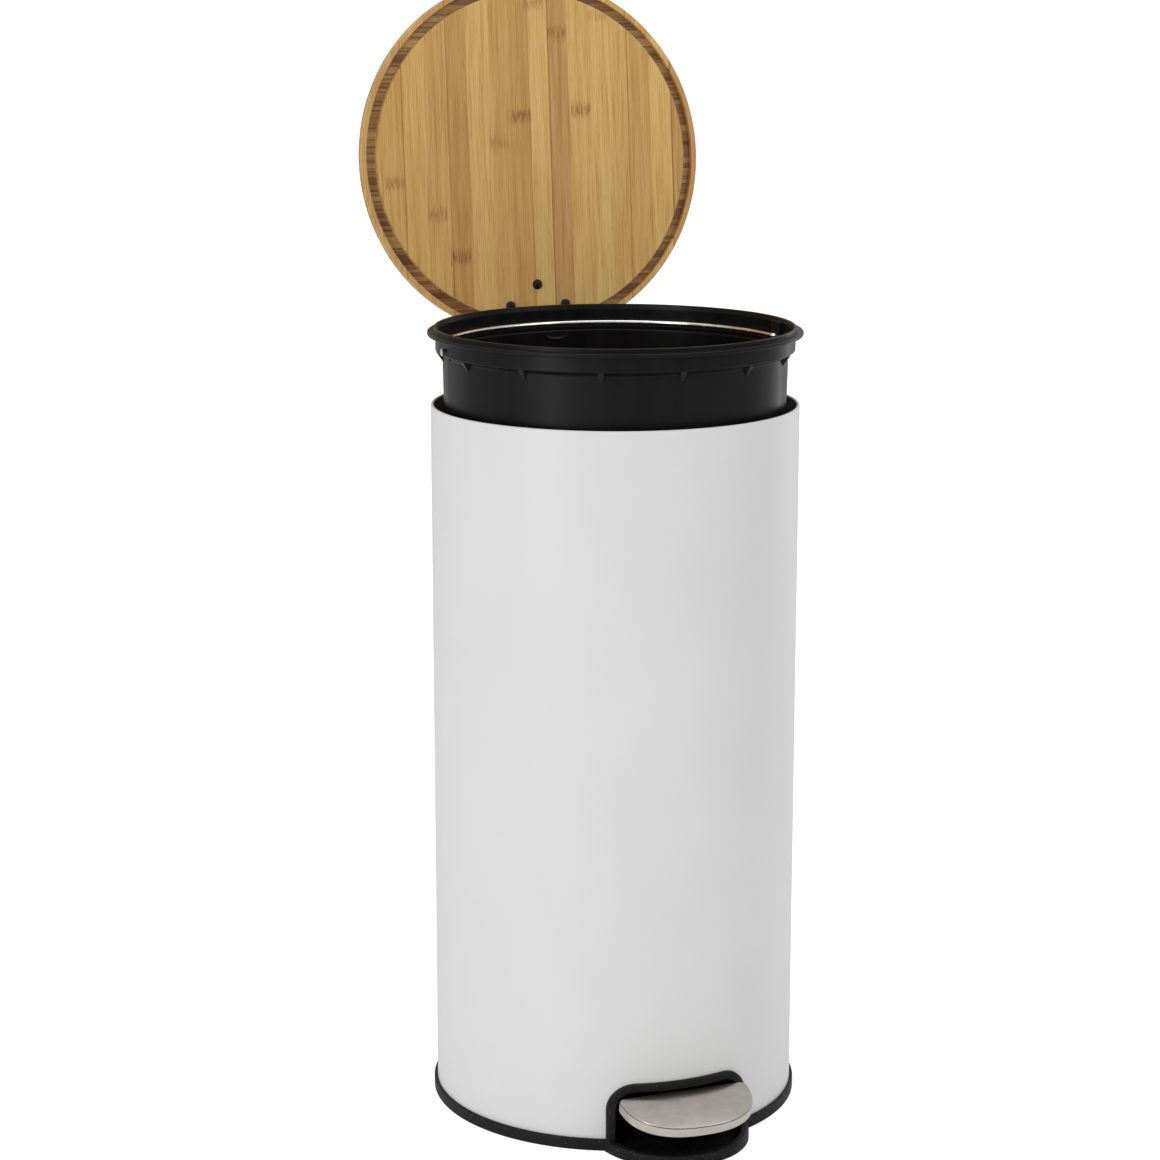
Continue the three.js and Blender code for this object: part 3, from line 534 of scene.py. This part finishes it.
def turned(mesh, profile, steps=256, start=0.0, sweep=360.0):
    """A closed profile of (radius, height) swept round the bin's axis. Angles run from the
    front, towards +X."""
    whole = sweep >= 360
    count = steps if whole else steps + 1
    rings = []
    for k in range(count):
        angle = radians(start + sweep * k / steps)
        rings.append([(r * sin(angle), -r * cos(angle), z) for r, z in profile])
    skin(mesh, rings, closed_path=whole)


def along_y(mesh, outline, low, high):
    """An (x, z) outline carried from y = low to y = high."""
    skin(mesh, [[(x, y, z) for x, z in outline] for y in (low, high)])


def cleaned(mesh):
    bmesh.ops.remove_doubles(mesh, verts=mesh.verts, dist=WELD * MM)
    bmesh.ops.recalc_face_normals(mesh, faces=mesh.faces)


def finished(name, mesh, node, sharp=38, place=None):
    """The piece a mesh makes, in the stead of its CAD node."""
    cleaned(mesh)
    data = bpy.data.meshes.new(name)
    mesh.to_mesh(data)
    mesh.free()
    placed(name, data, node, sharp, place)


def placed(name, data, node, sharp, place=None):
    """A piece with the finish of its CAD node's slot, riding on that node's body."""
    slot = SLOT_OF[node]
    data.materials.clear()
    data.materials.append(FINISH[slot])
    data.shade_smooth()
    data.set_sharp_from_angle(angle=radians(sharp))
    piece = bpy.data.objects.new(name, data)
    bpy.context.scene.collection.objects.link(piece)
    even = piece.modifiers.new("even_shading", "WEIGHTED_NORMAL")
    even.keep_sharp = True
    if place:
        piece.matrix_world = place
    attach(piece, BODY_OF[node])
    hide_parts(node)


def carved(mesh, *cutters):
    """The mesh with the cutters' solids taken away."""
    objects = []
    for part in (mesh, *cutters):
        cleaned(part)
        data = bpy.data.meshes.new("carving")
        part.to_mesh(data)
        part.free()
        objects.append(bpy.data.objects.new("carving", data))
        bpy.context.scene.collection.objects.link(objects[-1])
    for cutter in objects[1:]:
        cut = objects[0].modifiers.new("cut", "BOOLEAN")
        cut.operation = "DIFFERENCE"
        cut.solver = "EXACT"
        cut.object = cutter
    left = bmesh.new()
    left.from_mesh(objects[0].evaluated_get(bpy.context.evaluated_depsgraph_get()).to_mesh())
    for thing in objects:
        bpy.data.objects.remove(thing)
    return left


# ---------------------------------------------------------------- body

def arch_outline(inset, bottom, steps=10):
    """The pedal opening's outline in x and z, from the lower left over the top to the lower right."""
    half, top, corner = ARCH_HALF - inset, ARCH_TOP_Z - inset, ARCH_CORNER - inset
    left = arc(-half + corner, top - corner, corner, 180, 90, steps)
    right = arc(half - corner, top - corner, corner, 90, 0, steps)
    return [Vector((-half, bottom)), *left, *right, Vector((half, bottom))]


def outer_shell():
    """Rolled steel drum with a curled bead on top, cut out for the pedal and for the push rod."""
    drum = bmesh.new()
    inner = SHELL_R - SHELL_WALL
    bead = arc(SHELL_R - BEAD_R, SHELL_TOP_Z - BEAD_R, BEAD_R, 0, 235, 14)
    turned(drum, [Vector((inner, SHELL_FOOT_Z)), Vector((SHELL_R, SHELL_FOOT_Z)), *bead,
                  Vector((inner, SHELL_TOP_Z - BEAD_CURL_H))])
    opening = bmesh.new()
    along_y(opening, arch_outline(ARCH_LAP, 0.0, 16), -SHELL_R - 5, -100)
    window = bmesh.new()
    sill, head = ROD_WINDOW_Z
    half = ROD_WINDOW_HALF_W
    along_y(window, [(-half, sill), (half, sill), (half, head), (-half, head)], 120, SHELL_R + 5)
    screw_holes = bmesh.new()
    for x in (-HOUSING_SCREW_X, HOUSING_SCREW_X):
        along_y(screw_holes, arc(x, HOUSING_SCREW_Z, HOUSING_HOLE_R, 0, 345, 23), 120, SHELL_R + 5)
    finished("shell_drum", carved(drum, opening, window, screw_holes), "outer_shell", sharp=30)


def divided(path, longest):
    """The path with points added along its straight runs, to follow the curve of the drum."""
    points = []
    for start, end in zip(path, path[1:]):
        pieces = max(1, round((end - start).length / longest))
        points += [start.lerp(end, k / pieces) for k in range(pieces)]
    return points + [path[-1]]


def arch_surround(mesh):
    """Moulded frame round the pedal opening: a rounded face that laps the steel, and a neck
    that runs inside."""
    path = divided(arch_outline(0.0, 0.5, 14), 3.0)
    neck = ARCH_LAP + SEAT_GAP
    rings = []
    for i, point in enumerate(path):
        ahead = path[min(i + 1, len(path) - 1)] - path[max(i - 1, 0)]
        inward = Vector((ahead.y, -ahead.x)).normalized()
        ring = []
        for reach, depth in ARCH_FACE:
            x, z = point + inward * reach
            ring.append((x, depth - sqrt(ARCH_FACE_R ** 2 - x * x), z))
        for reach in (ARCH_FRAME, neck):
            x, z = point + inward * reach
            ring.append((x, ARCH_BACK_Y, z))
        ring.append((x, ARCH_LAP_DEPTH - sqrt(ARCH_FACE_R ** 2 - x * x), z))
        rings.append(ring)
    skin(mesh, rings)


def tray(mesh):
    """The half-round lip of the floor in front of the pedal, with a raised, rounded rim."""
    rim = filleted([
        (TRAY_R, 0, 0.6), (TRAY_R, BASE_BAND_H - 0.6, 2.6), (TRAY_R - TRAY_WALL, BASE_BAND_H, 1.8),
        (TRAY_R - TRAY_WALL - 0.6, 0.4, 0)], 6)
    steps = 64
    rings = []
    for k in range(steps + 1):
        angle = pi * (1 + k / steps)
        rings.append([(r * cos(angle), TRAY_CENTRE_Y + r * sin(angle), z) for r, z in rim])
    skin(mesh, rings)
    inside = TRAY_R - TRAY_WALL / 2
    floor = [*arc(0, TRAY_CENTRE_Y, inside, 180, 360, 48), (inside, TRAY_BACK_Y), (-inside, TRAY_BACK_Y)]
    skin(mesh, [[(x, y, z) for x, y in floor] for z in (0.2, TRAY_FLOOR_Z)])


def pivot_bosses(mesh):
    """Two raised rounds that the pedal's pivot bracket is screwed to."""
    low, high = PIVOT_BOSS_Z
    boss = filleted([(0, low, 0), (PIVOT_BOSS_R, low, 0), (PIVOT_BOSS_R, high, 0.5), (0, high, 0)], 3)
    for y in (PIVOT_Y - PIVOT_BOSS_REACH, PIVOT_Y + PIVOT_BOSS_REACH):
        rings = []
        for k in range(32):
            angle = 2 * pi * k / 32
            rings.append([(r * cos(angle), y + r * sin(angle), z) for r, z in boss])
        skin(mesh, rings, closed_path=True)


def base():
    """Moulded base: floor, band round the foot of the drum, pedal surround and tray."""
    mesh = bmesh.new()
    open_half = degrees(asin((ARCH_HALF - 1.5) / BASE_R))
    groove_out = SHELL_R + SHELL_GAP
    groove_in = SHELL_R - SHELL_WALL - SEAT_GAP
    band = filleted([
        (BASE_INNER_R, 0, 0), (BASE_R, 0, 0.9), (BASE_R, BASE_BAND_H, 1.3), (groove_out, BASE_BAND_H, 0.3),
        (groove_out, SHELL_SEAT_Z, 0), (groove_in, SHELL_SEAT_Z, 0), (groove_in, BASE_INNER_H, 0.6),
        (BASE_INNER_R, BASE_INNER_H, 0.6)], 5)
    turned(mesh, band, 240, open_half, 360 - 2 * open_half)
    edge = BASE_INNER_R + 1
    low, high = BASE_UNDERSIDE_Z, BASE_FLOOR_Z
    turned(mesh, [(0, low), (edge, low), (edge, high), (0, high)], 160)
    arch_surround(mesh)
    tray(mesh)
    pivot_bosses(mesh)
    finished("base_moulding", mesh, "base", sharp=34)


# ---------------------------------------------------------------- pedal

def pedal_place():
    """The pedal's own frame: x along its width, y towards the bin, its top face at z = 0."""
    back_y = PEDAL_HIGH.y - PEDAL_RIM * sin(PEDAL_SLOPE)
    back_edge = Vector((0, back_y, PEDAL_HIGH.z)) * MM
    return Matrix.Translation(back_edge) @ Matrix.Rotation(PEDAL_SLOPE, 4, "X")


def pedal_outline(inset, steps=90):
    """Half-moon outline: a rounded front, and a straight back with small round corners."""
    half = PEDAL_HALF_W - inset
    start = inset + PEDAL_CORNER_R
    reach = PEDAL_DEPTH - PEDAL_CORNER_R - 2 * inset
    power = 2 / PEDAL_ROUNDNESS
    front = []
    for k in range(steps + 1):
        angle = pi * k / steps
        x = -half * (1 if cos(angle) >= 0 else -1) * abs(cos(angle)) ** power
        front.append((x, -start - reach * sin(angle) ** power))
    corner = PEDAL_CORNER_R - inset * 0.2
    quarter = [pi / 2 * k / 8 for k in range(1, 9)]
    back = [(half - corner + corner * cos(a), -start + PEDAL_CORNER_R * sin(a)) for a in quarter]
    return front + back + [(-x, y) for x, y in reversed(back)]


def pedal_cap():
    """Stamped steel cap: a shallow crown, a tight edge and a turned-down rim, one sheet thick."""
    mesh = bmesh.new()
    edge = PEDAL_EDGE_R
    middle = Vector((0, -PEDAL_DEPTH * 0.45))

    def level(inset, z):
        return [(x, y, z) for x, y in pedal_outline(inset)]

    def crowned(share, drop):
        ring = []
        for x, y in pedal_outline(edge):
            flat = middle + (Vector((x, y)) - middle) * share
            ring.append((flat.x, flat.y, PEDAL_CROWN * (1 - share ** 2.6) - drop))
        return ring

    shares = [k / 14 for k in range(15)]
    top = [crowned(max(share, 0.01), 0.0) for share in shares]
    quarter = [pi / 2 * k / 7 for k in range(1, 8)]
    bend = [level(edge * (1 - sin(a)), -edge * (1 - cos(a))) for a in quarter]
    rim = [level(-PEDAL_FLARE, -2 * edge), level(-PEDAL_FLARE, -PEDAL_RIM + 0.3), level(0.3, -PEDAL_RIM),
           level(PEDAL_SHEET, -PEDAL_RIM)]
    under = [level(PEDAL_SHEET, -PEDAL_SHEET), level(edge, -PEDAL_SHEET - 0.1)]
    inside = [crowned(max(share, 0.01), PEDAL_SHEET) for share in reversed(shares[:-1])]
    skin(mesh, top + bend + rim + under + inside)
    finished("pedal_cap_steel", mesh, "pedal_cap", sharp=50, place=pedal_place())


# ---------------------------------------------------------------- lid

def lid_place():
    """The lid's own frame, opened: the middle of its ring face is the origin, its outside is +z."""
    pivot = Vector((0, HINGE_Y, HINGE_Z)) * MM
    return (Matrix.Translation(pivot) @ Matrix.Rotation(-LID_OPEN, 4, "X")
            @ Matrix.Translation(Vector((0, 0, LID_FACE_Z)) * MM - pivot))


def lid():
    """Bamboo board: a round disc that drops into the bucket's mouth, a routed groove and a flat ring."""
    mesh = bmesh.new()
    profile = filleted([
        (0, -DISC_PROUD, 0), (GROOVE_IN_R, -DISC_PROUD, 0.7), (GROOVE_IN_R, GROOVE_DEPTH, 0.3),
        (GROOVE_OUT_R, GROOVE_DEPTH, 0.3), (GROOVE_OUT_R, 0, 0.5), (LID_R, 0, 0.8),
        (LID_R, LID_T, LID_EDGE_ROUND - 0.5), (0, LID_T, 0)], 8)
    turned(mesh, profile, 288)
    finished("lid_board", mesh, "lid", sharp=32, place=lid_place())


def lid_screw(index):
    """Pan-head screw with a cross recess."""
    x, y = LID_SCREWS[index]
    face = -DISC_PROUD - 0.1
    head = bmesh.new()
    radius = LID_SCREW_HEAD_R
    outline = [(0, face + 0.1), (radius, face + 0.1), *arc(0, face + 0.9, radius, -14, -60, 8)]
    outline = [(r, face - (face - z) * 0.82) for r, z in outline]
    turned(head, outline + [(0, face - LID_SCREW_HEAD_H)], 40)
    cross = bmesh.new()
    arm, width = 2.1, 0.45
    plus = [(-width, -arm), (width, -arm), (width, -width), (arm, -width), (arm, width), (width, width),
            (width, arm), (-width, arm), (-width, width), (-arm, width), (-arm, -width), (-width, -width)]
    skin(cross, [[(a, b, z) for a, b in plus] for z in (face - 6, face - 1.4)])
    mesh = carved(head, cross)
    tip = LID_T + 2.5
    turned(mesh, [(0, face), (LID_SCREW_SHANK_R, face), (LID_SCREW_SHANK_R, tip), (0, tip)], 24)
    bmesh.ops.translate(mesh, verts=mesh.verts, vec=Vector((x, y, 0)) * MM)
    finished(f"lid_screw_head_{index + 1}", mesh, f"lid_screw_{index + 1}", place=lid_place())


# ---------------------------------------------------------------- bucket

def bucket_wall(mesh):
    top = FLANGE_TOP_Z
    shoulder = SHOULDER_Z
    step = shoulder - STEP_H
    low = BUCKET_LOW.z
    t = BUCKET_T
    profile = filleted([
        (0, low, 0), (BUCKET_FLOOR_R, low, 6), (BUCKET_WALL_R, step, 1.5), (SHOULDER_R, shoulder, 1.2),
        (SHOULDER_R, top - FLANGE_T, 0.7), (FLANGE_R, top - FLANGE_T, 0.9), (FLANGE_R, top, 0.9),
        (LIP_R, top, 0.5), (LIP_R, top + LIP_H, 0.7), (LIP_R - 2.2, top + LIP_H, 0.7),
        (SHOULDER_R - t, top - 0.5, 1.5), (SHOULDER_R - t, shoulder + 0.6, 1.2),
        (BUCKET_WALL_R - t, step + 0.6, 1.5), (BUCKET_FLOOR_R - t, low + t, 5), (0, low + t, 0)], 5)
    turned(mesh, profile, 256)


def bucket_ribs(mesh):
    """Small gussets that stiffen the step under the shoulder."""
    side = [(BUCKET_WALL_R - 0.8, SHOULDER_Z - 4, RIB_HALF_T), (SHOULDER_R - 0.7, SHOULDER_Z + 1, RIB_HALF_T),
            (SHOULDER_R - 0.3, SHOULDER_Z - 0.8, RIB_HALF_T),
            (BUCKET_WALL_R - 0.4, SHOULDER_Z - RIB_H, RIB_FOOT_HALF_T)]
    for number in range(RIB_COUNT):
        angle = 2 * pi * number / RIB_COUNT
        outward = Vector((sin(angle), -cos(angle), 0))
        sideways = Vector((cos(angle), sin(angle), 0))
        skin(mesh, [[outward * r + sideways * half * share + Vector((0, 0, z)) for r, z, half in side]
                    for share in (-1, 1)])


def bail_bosses(mesh):
    """Thickened pads inside the shoulder where the wire passes through."""
    half = BAIL_BOSS_HALF_W
    low, high = BAIL_Z - BAIL_BOSS_DROP, FLANGE_TOP_Z + 0.5
    outline = filleted([(-half, low, 3), (half, low, 3), (half, high, 1), (-half, high, 1)], 4)
    wall = SHOULDER_R - BUCKET_T
    for side in (-1, 1):
        rings = []
        for depth, shrink in ((-0.5, 0.0), (1.4, 0.0), (1.8, 0.4)):
            ring = []
            for a, z in outline:
                inward = shrink if z < BAIL_Z else -shrink
                ring.append((side * (sqrt(wall ** 2 - a * a) - depth), a * (1 - shrink / half), z + inward))
            rings.append(ring)
        skin(mesh, rings)


def moulded_crescent(mesh):
    """The raised crescent in the middle of the back wall, under the wire."""
    steps = 24
    top_z = FLANGE_TOP_Z - CRESCENT_DROP
    wall = BUCKET_WALL_R - BUCKET_T
    rings = []
    for k in range(steps + 1):
        share = 2 * k / steps - 1
        angle = share * CRESCENT_HALF_W / wall
        drop = CRESCENT_SAG * sqrt(max(0.0, 1 - share * share))
        fat = 0.4 + 1.5 * (1 - abs(share)) ** 0.5
        ring = []
        for j in range(8):
            turn = 2 * pi * j / 8
            r = wall + 0.2 - fat * cos(turn) * 0.9
            ring.append((r * sin(angle), r * cos(angle), top_z - drop + fat * sin(turn)))
        rings.append(ring)
    skin(mesh, rings)


def inner_bucket():
    """Lift-out bucket with a broad flange, an upright lip, a stepped shoulder and gussets."""
    mesh = bmesh.new()
    bucket_wall(mesh)
    bucket_ribs(mesh)
    bail_bosses(mesh)
    moulded_crescent(mesh)
    finished("bucket_moulding", mesh, "inner_bucket", sharp=34)


def bail_handle():
    """Half hoop of bright wire folded to the back, its ends turned out through the bucket and
    peened over."""
    bend = BAIL_BEND_R
    path = [(BAIL_END_X, 0), (BAIL_END_X - 0.7, 0), (BAIL_R + bend, 0)]
    quarter = [pi / 2 * k / 6 for k in range(1, 7)]
    path += [(BAIL_R + bend - bend * sin(a), bend - bend * cos(a)) for a in quarter]
    first = degrees(asin(bend / BAIL_R))
    middle = arc(0, 0, BAIL_R, first, 180 - first, 90)[1:-1]
    path = path + middle + [(-x, y) for x, y in reversed(path)]
    mesh = bmesh.new()
    rings = []
    for i, (x, y) in enumerate(path):
        x0, y0 = path[max(i - 1, 0)]
        x1, y1 = path[min(i + 1, len(path) - 1)]
        outward = Vector((y1 - y0, x0 - x1, 0)).normalized()
        at_end = min(i, len(path) - 1 - i)
        radius = {0: BAIL_WIRE_R * 0.75, 1: BAIL_WIRE_R * BAIL_PEEN}.get(at_end, BAIL_WIRE_R)
        rings.append([Vector((x, y, BAIL_Z)) + radius * (outward * cos(t) + Vector((0, 0, sin(t))))
                      for t in (2 * pi * k / 14 for k in range(14))])
    skin(mesh, rings)
    finished("bail_wire", mesh, "bail_handle", sharp=60)


# ---------------------------------------------------------------- hardware

# Bevel in millimetres on the corners of each piece that keeps its CAD shape
BEVELS = {
    "hinge_housing": 0.9, "lid_bracket": 0.8, "pedal_core": 0.8, "rod_guide_lower": 0.6,
    "rod_guide_upper": 0.6, "rod_foot": 0.3, "pedal_lever": 0.5, "pivot_bracket": 0.35, "pivot_pin": 0.3,
    "pin_clip_1": 0.12, "pin_clip_2": 0.12, "bracket_screw_1": 0.3, "bracket_screw_2": 0.3,
    "rest_pad": 0.8, "press_pad": 0.8, "push_rod": 0.0, "housing_screw_1": 0.3, "housing_screw_2": 0.3,
    "hinge_pin": 0.4, "pedal_screw_1": 0.3, "pedal_screw_2": 0.3, "foot_pad_1": 0.7, "foot_pad_2": 0.7,
    "foot_pad_3": 0.7, "foot_pad_4": 0.7,
}


def softened(node, bevel):
    """A CAD piece with its corners broken, as a moulding, a pressing or a turned part has them."""
    data = frame["nodes"][node].data.copy()
    mesh = bmesh.new()
    mesh.from_mesh(data)
    bmesh.ops.remove_doubles(mesh, verts=mesh.verts, dist=0.005 * MM)
    bmesh.ops.dissolve_limit(mesh, angle_limit=radians(0.6), verts=mesh.verts, edges=mesh.edges)
    mesh.to_mesh(data)
    mesh.free()
    holder = bpy.data.objects.new("softening", data)
    bpy.context.scene.collection.objects.link(holder)
    if bevel:
        cut = holder.modifiers.new("bevel", "BEVEL")
        cut.width = bevel * MM
        cut.segments = 3
        cut.limit_method = "ANGLE"
        cut.angle_limit = radians(34)
    depsgraph = bpy.context.evaluated_depsgraph_get()
    made = bpy.data.meshes.new_from_object(holder.evaluated_get(depsgraph))
    bpy.data.objects.remove(holder)
    placed(f"{node}_piece", made, node, sharp=36)


# ---------------------------------------------------------------- studio

CAMERA_AT = (-0.8363, -2.1338, 0.9264)
CAMERA_HEADING = radians(-20.7)
CAMERA_PITCH = radians(12.21)
CAMERA_LENS = 89.67
FLOOR_R = 300.0                  # metres: its edge lies beyond what can be told apart


def camera():
    made = bpy.data.objects.new("camera", bpy.data.cameras.new("camera"))
    made.data.lens = CAMERA_LENS
    made.data.sensor_width = 36
    made.location = CAMERA_AT
    made.rotation_euler = (pi / 2 - CAMERA_PITCH, 0, CAMERA_HEADING)
    bpy.context.scene.collection.objects.link(made)
    bpy.context.scene.camera = made


def softbox(name, at, target, width, height, watts):
    lamp = bpy.data.lights.new(name, "AREA")
    lamp.shape = "RECTANGLE"
    lamp.size, lamp.size_y = width, height
    lamp.energy = watts
    made = bpy.data.objects.new(name, lamp)
    made.location = at
    made.rotation_euler = (Vector(target) - Vector(at)).to_track_quat("-Z", "Y").to_euler()
    bpy.context.scene.collection.objects.link(made)


def studio():
    world = bpy.data.worlds.new("studio")
    world.use_nodes = True
    tree = world.node_tree
    tree.nodes.clear()
    seen = put(tree, "LightPath").outputs["Is Camera Ray"]
    glow = put(tree, "Background", {0: linear("#FFFFFF"), 1: remap(tree, seen, 0.0, 1.0, WORLD_GLOW, 1.0)})
    put(tree, "OutputWorld", {0: glow.outputs[0]})
    bpy.context.scene.world = world
    softbox("key", (1.7, -1.9, 2.4), (0, 0, 0.5), 1.3, 1.3, 17)
    softbox("left_bank", (-2.4, -1.3, 1.1), (0, 0, 0.45), 0.9, 2.2, 24)
    softbox("overhead", (0.0, 0.2, 3.2), (0, 0, 0), 2.6, 2.6, 28)
    softbox("right_edge", (2.0, 1.0, 0.9), (0, 0, 0.45), 0.4, 1.8, 3.5)
    bpy.context.scene.view_settings.view_transform = "Standard"
    bpy.context.scene.view_settings.look = "None"


def studio_floor():
    mesh = bmesh.new()
    bmesh.ops.create_circle(mesh, cap_ends=True, radius=FLOOR_R, segments=96)
    data = bpy.data.meshes.new("studio_floor")
    mesh.to_mesh(data)
    mesh.free()
    data.materials.append(studio_paper())
    floor = bpy.data.objects.new("studio_floor", data)
    bpy.context.scene.collection.objects.link(floor)


# ---------------------------------------------------------------- assembly

camera()
studio()
studio_floor()
outer_shell()
base()
pedal_cap()
lid()
for number in range(len(LID_SCREWS)):
    lid_screw(number)
inner_bucket()
bail_handle()
for piece_name, bevel_mm in BEVELS.items():
    softened(piece_name, bevel_mm)
